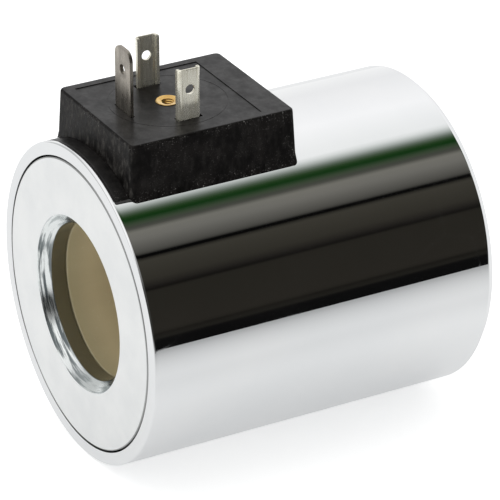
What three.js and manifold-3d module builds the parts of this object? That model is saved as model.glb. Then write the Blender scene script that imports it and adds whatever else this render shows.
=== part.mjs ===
// Wet-pin solenoid coil for a hydraulic valve, as a three.js scene.
// Millimetres. The bore axis is Y, with the front end face at Y = 0 and the rear one at
// Y = canLength. +Z points at the plug face of the connector block.

import * as THREE from 'three';
import { mergeVertices } from 'three/addons/utils/BufferGeometryUtils.js';
import Module from 'manifold-3d';

const wasm = await Module();
wasm.setup();

// ---------------------------------------------------------------- driving sizes

const fitGap = 0.3; // left between neighbours that touch in the real coil

// Steel can and its flux end plates
const canOuterRadius = 32.5;
const canWall = 2.7;
const canLength = 76;
const canFrontChamfer = 0.5;
const canRearChamfer = 1.6;
const plateThickness = 5.2;
const plateRimChamfer = 0.3;

// Bore for the armature tube, with a two-step lead-in at each end
const boreRadius = 15.9;
const leadInDepth = 1.1;
const leadInWidth = 1.1;
const outerLeadInDepth = 1.0;
const outerLeadInWidth = 1.0;

// Bobbin, winding and the moulded jacket round them
const bobbinWall = 1.6;
const bobbinFlange = 2;
const jacketWall = 3;
const tapeThickness = 0.4;
const padThickness = 0.3;
const padWidth = 6;

// Connector block on the jacket
const blockWidth = 33.2; // at its foot, as are its length and its front
const blockLength = 36.3;
const blockFront = 3.95;
const blockRise = 6.85; // of its top above the can
const blockCorner = 0.8;
const blockEdge = 0.5;
const blockDraft = 1.2; // taken off each long side between the can and the top
const blockEndDraft = 0.5; // the same at the front and the rear
const windowFront = 1;
const windowSideLap = 1.3; // how far the block's foot laps over each side of the can's window
const windowRearLap = 1.4; // and over its rear
const sealRecess = 0.15;
const sealMargin = 2.1;
const blockRoof = 2.5;

// Plug pattern: two line pins 18 mm apart, the earth pin in front, an M3 insert in the middle
const patternSetback = 16.35;
const linePinSpacing = 18; // between the webs of the two line pins
const earthPinOffset = 9.3;
const lineWidth = 4.8;
const lineDepth = 1.5;
const lineSheet = 0.6;
const lineHeight = 10.2;
const lineHoleHeight = 6;
const earthWidth = 6.3;
const earthSheet = 0.8;
const earthHeight = 13;
const earthHoleHeight = 8.6;
const earthShoulder = 1.6;
const terminalHoleRadius = 1;
const terminalTail = 7;
const carrierRearReach = 8; // of the terminal carrier behind the insert
const insertRadius = 2.4;
const insertLength = 8;
const insertBore = 1.25;

// Lead-out wires with their sleeves and ferrules, and the earth strap
const wireRadius = 0.5;
const sleeveWall = 0.2;
const ferruleWall = 0.3;
const ferruleLength = 3.2;
const leadBend = 2.2;
const strapWidth = 4;
const strapSheet = 0.5;

// ---------------------------------------------------------------- derived sizes

const canInnerRadius = canOuterRadius - canWall;
const plateRadius = canInnerRadius - fitGap;
const leadInRadius = boreRadius + leadInWidth;
const recessRadius = leadInRadius + outerLeadInWidth;

const jacketOuterRadius = canInnerRadius - fitGap;
const jacketInnerRadius = jacketOuterRadius - jacketWall;
const jacketFront = plateThickness + fitGap;
const jacketRear = canLength - jacketFront;
const flangeRadius = jacketInnerRadius - fitGap;
const tapeInnerRadius = flangeRadius - tapeThickness;
const windingOuterRadius = tapeInnerRadius - fitGap;
const windingInnerRadius = boreRadius + bobbinWall + fitGap;

const sleeveInnerRadius = wireRadius + fitGap;
const sleeveOuterRadius = sleeveInnerRadius + sleeveWall;
const ferruleInnerRadius = wireRadius + fitGap;
const ferruleOuterRadius = ferruleInnerRadius + ferruleWall;

// The leads climb the front flange, and the pad keeps the winding off them.
const leadY = jacketFront + bobbinFlange + fitGap + sleeveOuterRadius;
const padY = leadY + sleeveOuterRadius + fitGap;
const windingFront = padY + padThickness + fitGap;
const windingRear = jacketRear - bobbinFlange - fitGap;

const blockTop = canOuterRadius + blockRise;
const blockRear = blockFront + blockLength;
const blockFoot = Math.sqrt(canOuterRadius ** 2 - (blockWidth / 2) ** 2); // where its sides meet the can
const patternY = blockFront + patternSetback;
const sealFloor = blockTop - sealRecess;
const sealSide = blockWidth - 2 * blockDraft - 2 * sealMargin;
const windowHalfWidth = blockWidth / 2 - windowSideLap;
const windowRear = blockRear - windowRearLap;

const pocketRoof = blockTop - blockRoof;
const leadZ = pocketRoof - fitGap - ferruleOuterRadius;
const carrierTop = leadZ - ferruleOuterRadius - fitGap;
const carrierUnderside = flangeRadius + 2 * fitGap;
const carrierFront = leadY + sleeveOuterRadius + fitGap;
const carrierRear = patternY + carrierRearReach;
const lineWebX = linePinSpacing / 2 + lineSheet / 2; // outer face of a line pin's web
const carrierHalfWidth = lineWebX + fitGap + ferruleOuterRadius;
const leadX = lineWebX - lineSheet - fitGap - ferruleOuterRadius;
const earthY = patternY - earthPinOffset;
const strapTop = leadZ;
const strapLevel = (flangeRadius + jacketOuterRadius) / 2 + strapSheet;
const strapFoot = flangeRadius + fitGap; // its lowest point, over the bobbin's flange

const roundSegments = 96;
const innerSegments = 64;
const smallSegments = 24;
const wireSides = 10;
const through = 200; // length of a cutter that passes right through

// ---------------------------------------------------------------- helpers

// A closed manifold-3d solid from a three.js geometry.
function solid(geometry) {
  const bare = geometry.clone();
  bare.deleteAttribute('normal');
  bare.deleteAttribute('uv');
  const merged = mergeVertices(bare, 1e-4);
  return new wasm.Manifold(new wasm.Mesh({
    numProp: 3,
    vertProperties: Float32Array.from(merged.attributes.position.array),
    triVerts: Uint32Array.from(merged.index.array),
  }));
}

function geometryOf(body) {
  const source = body.getMesh();
  const geometry = new THREE.BufferGeometry();
  geometry.setAttribute('position', new THREE.BufferAttribute(source.vertProperties, 3));
  geometry.setIndex(new THREE.BufferAttribute(source.triVerts, 1));
  geometry.computeVertexNormals();
  return geometry;
}

function named(name, body, material) {
  const mesh = new THREE.Mesh(geometryOf(body), new THREE.MeshStandardMaterial(material));
  mesh.name = name;
  return mesh;
}

// A body turned round the Y axis from [radius, y] corners, given in either direction.
function turned(corners, segments = roundSegments) {
  const points = corners.map(([radius, y]) => new THREE.Vector2(radius, y));
  const outline = THREE.ShapeUtils.isClockWise(points) ? points.reverse() : points;
  const closed = outline[0].x > 0 ? [...outline, outline[0].clone()] : outline;
  return solid(new THREE.LatheGeometry(closed, segments));
}

function ring(innerRadius, outerRadius, front, rear, segments = roundSegments) {
  return turned([
    [innerRadius, front], [outerRadius, front], [outerRadius, rear], [innerRadius, rear],
  ], segments);
}

function rod(radius, front, rear, segments = roundSegments) {
  const geometry = new THREE.CylinderGeometry(radius, radius, rear - front, segments);
  return solid(geometry.translate(0, (front + rear) / 2, 0));
}

// A box between two opposite corners.
function box(low, high) {
  const size = high.map((value, i) => value - low[i]);
  const middle = high.map((value, i) => (value + low[i]) / 2);
  return solid(new THREE.BoxGeometry(...size).translate(...middle));
}

function verticalRod(radius, x, y, bottom, top) {
  const geometry = new THREE.CylinderGeometry(radius, radius, top - bottom, smallSegments);
  return solid(geometry.rotateX(Math.PI / 2).translate(x, y, (bottom + top) / 2));
}

// A flat outline in a plane, extruded from z = 0 up.
function extruded(shape, depth, options = {}) {
  return new THREE.ExtrudeGeometry(shape, { depth, bevelEnabled: false, curveSegments: 6, ...options });
}

function polygon(corners) {
  return new THREE.Shape(corners.map(([x, y]) => new THREE.Vector2(x, y)));
}

function roundedRectangle(left, right, bottom, top, radius) {
  const shape = new THREE.Shape();
  shape.absarc(right - radius, top - radius, radius, 0, Math.PI / 2);
  shape.absarc(left + radius, top - radius, radius, Math.PI / 2, Math.PI);
  shape.absarc(left + radius, bottom + radius, radius, Math.PI, Math.PI * 1.5);
  shape.absarc(right - radius, bottom + radius, radius, Math.PI * 1.5, Math.PI * 2);
  shape.closePath();
  return shape;
}

function disc(radius) {
  const shape = new THREE.Shape();
  shape.absarc(0, 0, radius, 0, Math.PI * 2);
  return shape;
}

// ---------------------------------------------------------------- can and end plates

// What passes through the window cut in the top of the can's wall.
function windowPrism(gap) {
  return box(
    [-windowHalfWidth + gap, windowFront + gap, 0],
    [windowHalfWidth - gap, windowRear - gap, blockTop],
  );
}

function housingCan() {
  const tube = turned([
    [canInnerRadius, 0],
    [canOuterRadius - canFrontChamfer, 0],
    [canOuterRadius, canFrontChamfer],
    [canOuterRadius, canLength - canRearChamfer],
    [canOuterRadius - canRearChamfer, canLength],
    [canInnerRadius, canLength],
  ]);
  return tube.subtract(windowPrism(0));
}

// Drawn as the front plate, with its outside face at y = 0.
function endPlate() {
  return turned([
    [boreRadius, outerLeadInDepth + leadInDepth],
    [leadInRadius, outerLeadInDepth],
    [recessRadius, 0],
    [plateRadius - plateRimChamfer, 0],
    [plateRadius, plateRimChamfer],
    [plateRadius, plateThickness],
    [boreRadius, plateThickness],
  ]);
}

// ---------------------------------------------------------------- bobbin and winding

function bobbin() {
  const wallRadius = boreRadius + bobbinWall;
  return turned([
    [boreRadius, jacketFront],
    [flangeRadius, jacketFront],
    [flangeRadius, jacketFront + bobbinFlange],
    [wallRadius, jacketFront + bobbinFlange],
    [wallRadius, jacketRear - bobbinFlange],
    [flangeRadius, jacketRear - bobbinFlange],
    [flangeRadius, jacketRear],
    [boreRadius, jacketRear],
  ], innerSegments);
}

function winding() {
  return ring(windingInnerRadius, windingOuterRadius, windingFront, windingRear, innerSegments);
}

function windingTape() {
  return ring(tapeInnerRadius, flangeRadius, windingFront, windingRear, innerSegments);
}

// A strip of insulation between the winding and the start lead on its way out.
function leadPad() {
  const annulus = ring(windingInnerRadius, windingOuterRadius, padY, padY + padThickness, innerSegments);
  return annulus.intersect(box(
    [-leadX - padWidth / 2, 0, 0],
    [-leadX + padWidth / 2, through, through],
  ));
}

// ---------------------------------------------------------------- jacket and connector block

// The block's outside: rounded corners and edges, and drafted all round.
function blockBody() {
  const half = blockWidth / 2;
  const middleY = (blockFront + blockRear) / 2;
  const outline = roundedRectangle(
    -half + blockEdge, half - blockEdge, blockFront + blockEdge, blockRear - blockEdge,
    blockCorner - blockEdge,
  );
  const geometry = extruded(outline, blockTop - 2 * blockEdge, {
    bevelEnabled: true, bevelSize: blockEdge, bevelThickness: blockEdge, bevelSegments: 2,
  }).translate(0, 0, blockEdge);
  const corners = geometry.attributes.position;
  for (let i = 0; i < corners.count; i++) {
    const rise = (corners.getZ(i) - blockFoot) / (blockTop - blockFoot);
    corners.setX(i, corners.getX(i) * (1 - rise * blockDraft / half));
    const fromMiddle = corners.getY(i) - middleY;
    corners.setY(i, middleY + fromMiddle * (1 - rise * blockEndDraft / (blockLength / 2)));
  }
  return solid(geometry);
}

// Room under the block's roof for the carrier, the leads and the earth strap.
function wiringPocket() {
  const room = box(
    [-carrierHalfWidth - fitGap, leadY - sleeveOuterRadius - fitGap, 0],
    [carrierHalfWidth + fitGap, carrierRear + fitGap, pocketRoof],
  );
  const strapWay = box(
    [-strapWidth / 2 - fitGap, jacketFront - fitGap, 0],
    [strapWidth / 2 + fitGap, leadY, strapLevel + fitGap],
  );
  return room.add(strapWay);
}

function pinSlot(x, y, halfX, halfY) {
  return box(
    [x - halfX - fitGap, y - halfY - fitGap, pocketRoof - fitGap],
    [x + halfX + fitGap, y + halfY + fitGap, blockTop + fitGap],
  );
}

function overmould() {
  const jacket = ring(jacketInnerRadius, jacketOuterRadius, jacketFront, jacketRear, innerSegments);
  const saddle = ring(jacketInnerRadius, canOuterRadius, windowFront, windowRear)
    .intersect(windowPrism(fitGap))
    .subtract(rod(plateRadius + fitGap, -fitGap, jacketFront));
  const canWithGap = rod(canOuterRadius + fitGap, -through, through).subtract(windowPrism(fitGap));
  const block = blockBody()
    .subtract(canWithGap)
    .subtract(rod((jacketInnerRadius + jacketOuterRadius) / 2, -through, through))
    .subtract(rod(plateRadius + fitGap, -through, jacketFront));
  const recess = box(
    [-sealSide / 2, patternY - sealSide / 2, sealFloor],
    [sealSide / 2, patternY + sealSide / 2, blockTop + fitGap],
  );
  const lineSlotX = lineWebX - lineDepth / 2;
  return jacket.add(saddle).add(block)
    .subtract(recess)
    .subtract(wiringPocket())
    .subtract(pinSlot(-lineSlotX, patternY, lineDepth / 2, lineWidth / 2))
    .subtract(pinSlot(lineSlotX, patternY, lineDepth / 2, lineWidth / 2))
    .subtract(pinSlot(0, earthY, earthWidth / 2, earthSheet / 2))
    .subtract(verticalRod(insertRadius + fitGap, 0, patternY, pocketRoof - fitGap, blockTop));
}

// ---------------------------------------------------------------- connector pieces

// The pins stand in this carrier, which rests on the wound bobbin.
function terminalCarrier() {
  const tailBottom = blockTop - terminalTail - fitGap;
  const webMiddle = lineWebX - lineSheet / 2;
  const lineSlot = (side) => box(
    [side * webMiddle - lineSheet / 2 - fitGap, patternY - lineWidth / 2 - fitGap, tailBottom],
    [side * webMiddle + lineSheet / 2 + fitGap, patternY + lineWidth / 2 + fitGap, blockTop],
  );
  const earthNotch = box(
    [-earthWidth / 2 - fitGap, 0, 0],
    [earthWidth / 2 + fitGap, earthY + earthSheet / 2 + fitGap, blockTop],
  );
  return box([-carrierHalfWidth, carrierFront, 0], [carrierHalfWidth, carrierRear, carrierTop])
    .subtract(rod(carrierUnderside, -through, through))
    .subtract(lineSlot(-1))
    .subtract(lineSlot(1))
    .subtract(earthNotch)
    .subtract(verticalRod(insertRadius + fitGap, 0, patternY, blockTop - insertLength - 2 * fitGap, blockTop));
}

// A line pin: a channel open towards the insert, on a flat tail. Its web's outer face is at
// x = 0, it opens to -X, and z = 0 is the top of the block.
function lineTerminal() {
  const half = lineWidth / 2;
  const channel = extruded(polygon([
    [0, -half], [0, half], [-lineDepth, half], [-lineDepth, half - lineSheet],
    [-lineSheet, half - lineSheet], [-lineSheet, -half + lineSheet],
    [-lineDepth, -half + lineSheet], [-lineDepth, -half],
  ]), lineHeight + blockRoof / 2).translate(0, 0, -blockRoof / 2);
  const tail = box([-lineSheet, -half, -terminalTail], [0, half, 0]);
  const hole = new THREE.CylinderGeometry(terminalHoleRadius, terminalHoleRadius, lineDepth, smallSegments)
    .rotateZ(Math.PI / 2).translate(0, 0, lineHoleHeight);
  return solid(channel).add(tail).subtract(solid(hole));
}

// The earth pin: a flat blade with a rounded tip. Its middle plane is y = 0, and z = 0 is the
// top of the block.
function earthTerminal() {
  const half = earthWidth / 2;
  const shape = new THREE.Shape();
  shape.moveTo(-half, -terminalTail);
  shape.lineTo(half, -terminalTail);
  shape.lineTo(half, earthHeight - earthShoulder);
  shape.quadraticCurveTo(half, earthHeight, half - earthShoulder, earthHeight);
  shape.lineTo(-half + earthShoulder, earthHeight);
  shape.quadraticCurveTo(-half, earthHeight, -half, earthHeight - earthShoulder);
  shape.closePath();
  const hole = new THREE.Path();
  hole.absarc(0, earthHoleHeight, terminalHoleRadius, 0, Math.PI * 2, true);
  shape.holes.push(hole);
  const blade = extruded(shape, earthSheet).translate(0, 0, -earthSheet / 2);
  return solid(blade.rotateX(Math.PI / 2));
}

// The M3 insert, from z = 0 down.
function threadedInsert() {
  const half = insertLength / 2;
  const body = turned([
    [insertBore, -half], [insertRadius, -half], [insertRadius, half], [insertBore, half],
  ], smallSegments);
  return body.rotate([90, 0, 0]).translate([0, 0, -half]);
}

// ---------------------------------------------------------------- leads and earth strap

// A lead climbs from the winding at x = 0, turns back under the roof and ends at its pin.
function lead(bottom) {
  const route = new THREE.CurvePath();
  const turnStart = new THREE.Vector3(0, leadY, leadZ - leadBend);
  const turnEnd = new THREE.Vector3(0, leadY + leadBend, leadZ);
  const corner = new THREE.Vector3(0, leadY, leadZ);
  const tip = new THREE.Vector3(0, patternY + ferruleLength / 2, leadZ);
  route.add(new THREE.LineCurve3(new THREE.Vector3(0, leadY, bottom), turnStart));
  route.add(new THREE.QuadraticBezierCurve3(turnStart, corner, turnEnd));
  route.add(new THREE.LineCurve3(turnEnd, tip));
  return solid(extruded(disc(wireRadius), 0, {
    extrudePath: route, steps: 28, curveSegments: wireSides,
  }));
}

// The sleeve stands on the start of the bend.
function leadSleeve(bottom) {
  const top = leadZ - leadBend;
  const length = top - bottom;
  return ring(sleeveInnerRadius, sleeveOuterRadius, -length / 2, length / 2, smallSegments)
    .rotate([90, 0, 0]).translate([0, leadY, bottom + length / 2]);
}

function leadFerrule() {
  const front = patternY - ferruleLength / 2;
  return ring(ferruleInnerRadius, ferruleOuterRadius, front, front + ferruleLength, smallSegments)
    .translate([0, 0, leadZ]);
}

// A bent strip from the earth blade's root to the back of the front end plate.
function earthStrap() {
  const back = earthY - earthSheet / 2 - fitGap;
  const front = jacketFront;
  const band = polygon([
    [back - strapSheet, strapTop], [back, strapTop], [back, strapLevel - strapSheet],
    [front + strapSheet, strapLevel - strapSheet], [front + strapSheet, strapFoot],
    [front, strapFoot], [front, strapLevel], [back - strapSheet, strapLevel],
  ]);
  const axes = new THREE.Matrix4().makeBasis(
    new THREE.Vector3(0, 1, 0), new THREE.Vector3(0, 0, 1), new THREE.Vector3(1, 0, 0),
  );
  return solid(extruded(band, strapWidth).applyMatrix4(axes).translate(-strapWidth / 2, 0, 0));
}

// ---------------------------------------------------------------- materials

const chrome = { color: 0xc8cacc, roughness: 0.06, metalness: 1 };
const zinc = { color: 0xd8dada, roughness: 0.38, metalness: 1 };
const nylon = { color: 0x85785a, roughness: 0.45, metalness: 0 };
const copper = { color: 0x9a4a22, roughness: 0.3, metalness: 1 };
const tape = { color: 0xc9a94a, roughness: 0.5, metalness: 0 };
const blackPlastic = { color: 0x1c1b1b, roughness: 0.5, metalness: 0 };
const carrierPlastic = { color: 0x2c2b2a, roughness: 0.55, metalness: 0 };
const tinned = { color: 0xb9b5a4, roughness: 0.3, metalness: 1 };
const nickelled = { color: 0x7d7670, roughness: 0.4, metalness: 1 };
const brass = { color: 0xcf9a3c, roughness: 0.28, metalness: 1 };
const sleeving = { color: 0xb9b09a, roughness: 0.7, metalness: 0 };

// ---------------------------------------------------------------- assembly

const coil = new THREE.Group();
coil.add(named('housing_can', housingCan(), chrome));
coil.add(named('front_end_plate', endPlate(), zinc));

const rearPlate = named('rear_end_plate', endPlate(), zinc);
rearPlate.rotation.z = Math.PI;
rearPlate.position.y = canLength;
coil.add(rearPlate);

coil.add(named('bobbin', bobbin(), nylon));
coil.add(named('copper_winding', winding(), copper));
coil.add(named('winding_tape', windingTape(), tape));
coil.add(named('start_lead_pad', leadPad(), tape));
coil.add(named('overmould', overmould(), blackPlastic));
coil.add(named('terminal_carrier', terminalCarrier(), carrierPlastic));

const plugFace = new THREE.Group();
plugFace.position.set(0, patternY, blockTop);
coil.add(plugFace);

const firstPin = named('line_terminal_1', lineTerminal(), tinned);
firstPin.position.x = lineWebX;
const secondPin = named('line_terminal_2', lineTerminal(), tinned);
secondPin.position.x = -lineWebX;
secondPin.rotation.z = Math.PI;
const earthPin = named('earth_terminal', earthTerminal(), nickelled);
earthPin.position.y = -earthPinOffset;
const insert = named('threaded_insert', threadedInsert(), brass);
plugFace.add(firstPin, secondPin, earthPin, insert);

// The start lead comes from the first layer, and the finish lead from the last one.
const leadRoots = [
  { name: 'start_lead', side: -1, layerRadius: windingInnerRadius + wireRadius },
  { name: 'finish_lead', side: 1, layerRadius: windingOuterRadius - wireRadius },
];
for (const { name, side, layerRadius } of leadRoots) {
  const bottom = Math.sqrt(layerRadius ** 2 - leadX ** 2);
  const lane = new THREE.Group();
  lane.position.x = side * leadX;
  lane.add(named(name, lead(bottom), copper));
  lane.add(named(`${name}_sleeve`, leadSleeve(bottom + fitGap), sleeving));
  lane.add(named(`${name}_ferrule`, leadFerrule(), tinned));
  coil.add(lane);
}

coil.add(named('earth_strap', earthStrap(), tinned));

export default coil;
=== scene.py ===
import math

import bmesh
import bpy
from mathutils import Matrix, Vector


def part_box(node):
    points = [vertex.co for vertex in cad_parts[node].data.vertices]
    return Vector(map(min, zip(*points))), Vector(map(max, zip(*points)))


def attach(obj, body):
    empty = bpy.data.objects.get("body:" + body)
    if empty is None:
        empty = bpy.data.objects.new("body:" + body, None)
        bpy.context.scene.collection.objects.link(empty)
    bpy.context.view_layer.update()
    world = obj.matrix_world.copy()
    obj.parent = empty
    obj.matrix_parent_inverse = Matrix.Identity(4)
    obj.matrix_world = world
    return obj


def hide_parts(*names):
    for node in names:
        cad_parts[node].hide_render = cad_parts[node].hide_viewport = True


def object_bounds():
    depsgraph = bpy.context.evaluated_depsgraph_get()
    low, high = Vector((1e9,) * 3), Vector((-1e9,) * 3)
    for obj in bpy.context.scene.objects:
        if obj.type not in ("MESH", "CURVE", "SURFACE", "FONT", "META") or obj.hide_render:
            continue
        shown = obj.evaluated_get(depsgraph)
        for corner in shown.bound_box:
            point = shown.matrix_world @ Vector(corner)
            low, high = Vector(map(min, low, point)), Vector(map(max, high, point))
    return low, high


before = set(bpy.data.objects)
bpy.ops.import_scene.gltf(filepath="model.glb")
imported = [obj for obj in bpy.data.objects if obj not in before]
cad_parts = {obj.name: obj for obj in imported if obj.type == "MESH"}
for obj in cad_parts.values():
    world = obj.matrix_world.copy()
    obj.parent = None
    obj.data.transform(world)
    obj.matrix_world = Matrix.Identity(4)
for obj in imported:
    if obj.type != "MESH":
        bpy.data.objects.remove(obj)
cad_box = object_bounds()

# ---------------------------------------------------------------- sizes, in metres

MM = 0.001

# Can, its end plates and the bore
CAN_WALL = 2.7 * MM
CAN_FRONT_CHAMFER = 0.5 * MM
CAN_REAR_CHAMFER = 1.6 * MM
CAN_INNER_EDGE = 0.15 * MM
BORE_RADIUS = 15.9 * MM
LEAD_IN_WIDTH = 1.1 * MM
LEAD_IN_DEPTH = 1.1 * MM
OUTER_LEAD_IN_WIDTH = 1.0 * MM
OUTER_LEAD_IN_DEPTH = 1.0 * MM
PLATE_RIM_CHAMFER = 0.3 * MM
PLATE_STEP_EDGE = 0.1 * MM

# Window in the can's wall, and the clearance of the moulding in it
WINDOW_HALF_WIDTH = 15.3 * MM
WINDOW_FRONT = 1.0 * MM
WINDOW_REAR = 38.85 * MM
WINDOW_EDGE = 0.12 * MM
MOULDING_GAP = 0.05 * MM

# Bobbin and jacket
BOBBIN_WALL = 1.6 * MM
BOBBIN_FLANGE = 2.0 * MM
BOBBIN_MOUTH = 0.25 * MM
JACKET_WALL = 3.0 * MM
FIT_GAP = 0.3 * MM

# Connector block
BLOCK_WIDTH = 33.2 * MM
BLOCK_LENGTH = 36.3 * MM
BLOCK_FRONT = 3.95 * MM
BLOCK_CORNER = 1.2 * MM
BLOCK_EDGE = 0.5 * MM
BLOCK_DRAFT = 1.2 * MM
BLOCK_END_DRAFT = 0.5 * MM
FOOT_FLARE_STEPS = ((0.8, 0.16), (2.2, 0.32))  # height in mm, share of the draft taken there
SADDLE_EDGE = 0.3 * MM
SEAL_SIDE = 26.6 * MM
SEAL_DEPTH = 0.15 * MM
WITNESS_RADIUS = 11.7 * MM
WITNESS_WIDTH = 0.12 * MM
WITNESS_DEPTH = 0.04 * MM
SLOT_END_GAP = 0.3 * MM
SLOT_SIDE_GAP = 0.08 * MM

# Pins and insert
LINE_SHEET = 0.6 * MM
LINE_BEND = 0.25 * MM
LINE_FLANGE_FOOT = 1.25 * MM
LINE_HOLE_HEIGHT = 6.0 * MM
LINE_TIP_COIN = 0.2 * MM
LINE_FLANGE_CORNER = 0.6 * MM
EARTH_HOLE_HEIGHT = 8.6 * MM
EARTH_SHOULDER = 2.0 * MM
EARTH_EDGE = 0.16 * MM
PIN_HOLE_RADIUS = 1.0 * MM
SHEET_EDGE = 0.05 * MM
INSERT_BORE = 1.25 * MM
INSERT_RIM = 0.2 * MM
INSERT_RIM_EDGE = 0.05 * MM
MOUTH_DEPTH = 0.25 * MM
THREAD_RADIUS = 1.5 * MM
THREAD_PITCH = 0.5 * MM
THREAD_TURNS = 10

# How far off a point may be and still count as on an edge, and how squarely a face must look
# along an axis, as that part of its normal, to count as facing that way
SLACK = 0.01 * MM
ROUND_SLACK = 0.03 * MM
WINDOW_SLACK = 0.05 * MM
FACING = 0.9

# Angles between faces, in degrees. Below the smoothed ones they are shaded as one surface, and
# above the softened one their edge is rounded.
SMOOTHED_ANGLE = 30
PLATE_SMOOTHED_ANGLE = 20
SOFTENED_ANGLE = 50

# ---------------------------------------------------------------- places, from the frame

can_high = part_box("housing_can")[1]
can_radius = can_high.x
can_length = can_high.y
plate_low, plate_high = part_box("front_end_plate")
bobbin_low, bobbin_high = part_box("bobbin")
moulding_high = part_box("overmould")[1]
insert_low, insert_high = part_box("threaded_insert")
jacket_radius = moulding_high.x
block_top = moulding_high.z
pattern_y = (insert_low.y + insert_high.y) / 2
block_foot = math.sqrt(can_radius ** 2 - (BLOCK_WIDTH / 2) ** 2)

# The can's sides are chosen so that the window's long edges fall between two of them.
WINDOW_FACETS = 20
window_angle = math.asin(WINDOW_HALF_WIDTH / can_radius)
CAN_SIDES = round(2 * math.pi * WINDOW_FACETS / window_angle)
PLATE_SIDES = 192
WITNESS_SIDES = 96
HOLE_SIDES = 32

# ---------------------------------------------------------------- modelling helpers


def deselect():
    bpy.ops.object.select_all(action="DESELECT")


def only(piece):
    """One piece selected and active, with nothing in edit mode."""
    deselect()
    piece.select_set(True)
    bpy.context.view_layer.objects.active = piece


def edit(piece):
    only(piece)
    bpy.ops.object.mode_set(mode="EDIT")


def leave_edit():
    bpy.ops.object.mode_set(mode="OBJECT")


def new_piece(name):
    """Names the primitive that was just added and applies its place to its mesh."""
    piece = bpy.context.object
    piece.name = name
    piece.data.name = name
    bpy.ops.object.transform_apply(location=True, rotation=True, scale=True)
    return piece


def rod(name, radius, front, rear, sides):
    """A cylinder along the bore axis, with a corner at the top."""
    deselect()
    bpy.ops.mesh.primitive_cylinder_add(
        vertices=sides, radius=radius, depth=rear - front,
        location=(0, (front + rear) / 2, 0), rotation=(math.pi / 2, 0, 0))
    return new_piece(name)


def post(name, radius, x, y, bottom, top, sides=HOLE_SIDES):
    """An upright cylinder."""
    deselect()
    bpy.ops.mesh.primitive_cylinder_add(
        vertices=sides, radius=radius, depth=top - bottom, location=(x, y, (bottom + top) / 2))
    return new_piece(name)


def box(name, low, high):
    """A box between two opposite corners."""
    low, high = Vector(low), Vector(high)
    deselect()
    bpy.ops.mesh.primitive_cube_add(size=1, location=(low + high) / 2, scale=high - low)
    return new_piece(name)


def pick(piece, mode, test):
    """In edit mode, selects the faces, edges or points that pass the test, and nothing else."""
    bpy.ops.mesh.select_mode(type=mode)
    bpy.ops.mesh.select_all(action="DESELECT")
    shape = bmesh.from_edit_mesh(piece.data)
    kinds = {"FACE": shape.faces, "EDGE": shape.edges, "VERT": shape.verts}
    for part in kinds[mode]:
        if test(part):
            part.select_set(True)
    bmesh.update_edit_mesh(piece.data)


def pick_faces(piece, test):
    """The test gets each face's centre and normal."""
    pick(piece, "FACE", lambda face: test(face.calc_center_median(), face.normal))


def pick_edges(piece, test):
    """The test gets each edge's two ends."""
    pick(piece, "EDGE", lambda edge: test(edge.verts[0].co, edge.verts[1].co))


def pick_points(piece, test):
    """The test gets each point's place."""
    pick(piece, "VERT", lambda point: test(point.co))


def near(value, target, slack=SLACK):
    return abs(value - target) < slack


def radius_of(point):
    """Distance from the bore axis."""
    return math.hypot(point.x, point.z)


def on_circle(radius, y):
    """A test for the edges that run round the bore axis at one radius and place."""
    def test(a, b):
        return all(near(radius_of(p), radius, ROUND_SLACK) and near(p.y, y) for p in (a, b))
    return test


def bisect_at(place, normal):
    """Cuts all faces of the edited piece along a plane."""
    bpy.ops.mesh.select_all(action="SELECT")
    bpy.ops.mesh.bisect(plane_co=place, plane_no=normal)


def bevel(width, segments=1):
    bpy.ops.mesh.bevel(offset=width, segments=segments, affect="EDGES", clamp_overlap=False)


def apply_modifier(piece, kind, **settings):
    only(piece)
    modifier = piece.modifiers.new(kind.lower(), kind)
    for name, value in settings.items():
        setattr(modifier, name, value)
    bpy.ops.object.modifier_apply(modifier=modifier.name)


def combine(piece, other, operation):
    """Joins another body to a piece, or cuts it out, and removes that body."""
    apply_modifier(piece, "BOOLEAN", object=other, operation=operation, solver="EXACT")
    bpy.data.objects.remove(other, do_unlink=True)


def soften_edges(piece, width):
    """Rounds every sharp edge of a piece a little."""
    apply_modifier(piece, "BEVEL", width=width, segments=2, limit_method="ANGLE",
                   angle_limit=math.radians(SOFTENED_ANGLE))


def cut_out(piece, other):
    combine(piece, other, "DIFFERENCE")


def smooth(piece, angle=SMOOTHED_ANGLE):
    """Smooth shading across the small steps, with the large faces kept flat."""
    only(piece)
    bpy.ops.object.shade_smooth_by_angle(angle=math.radians(angle))
    apply_modifier(piece, "WEIGHTED_NORMAL", keep_sharp=True)


def turned_copy(piece, name, centre_y):
    """A second piece with a mesh of its own, turned half round about an upright line."""
    only(piece)
    bpy.ops.object.duplicate()
    twin = bpy.context.object
    twin.name = name
    twin.data.name = name
    bpy.ops.transform.rotate(value=math.pi, orient_axis="Z", center_override=(0, centre_y, 0))
    bpy.ops.object.transform_apply(location=True, rotation=True, scale=True)
    return twin


def open_bore(piece, radius_outside, radius_inside):
    """Insets both end faces of a rod and bridges them into a bore."""
    pick_faces(piece, lambda centre, normal: abs(normal.y) > FACING)
    bpy.ops.mesh.inset(thickness=radius_outside - radius_inside)
    bpy.ops.mesh.bridge_edge_loops()


def finish_piece(piece, node, material):
    """Puts a piece in the place of its CAD node."""
    piece.data.materials.clear()
    piece.data.materials.append(material)
    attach(piece, "root")
    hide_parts(node)


# ---------------------------------------------------------------- can and end plates


def over_window(point, half_angle):
    return abs(math.atan2(point.x, point.z)) < half_angle


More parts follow.
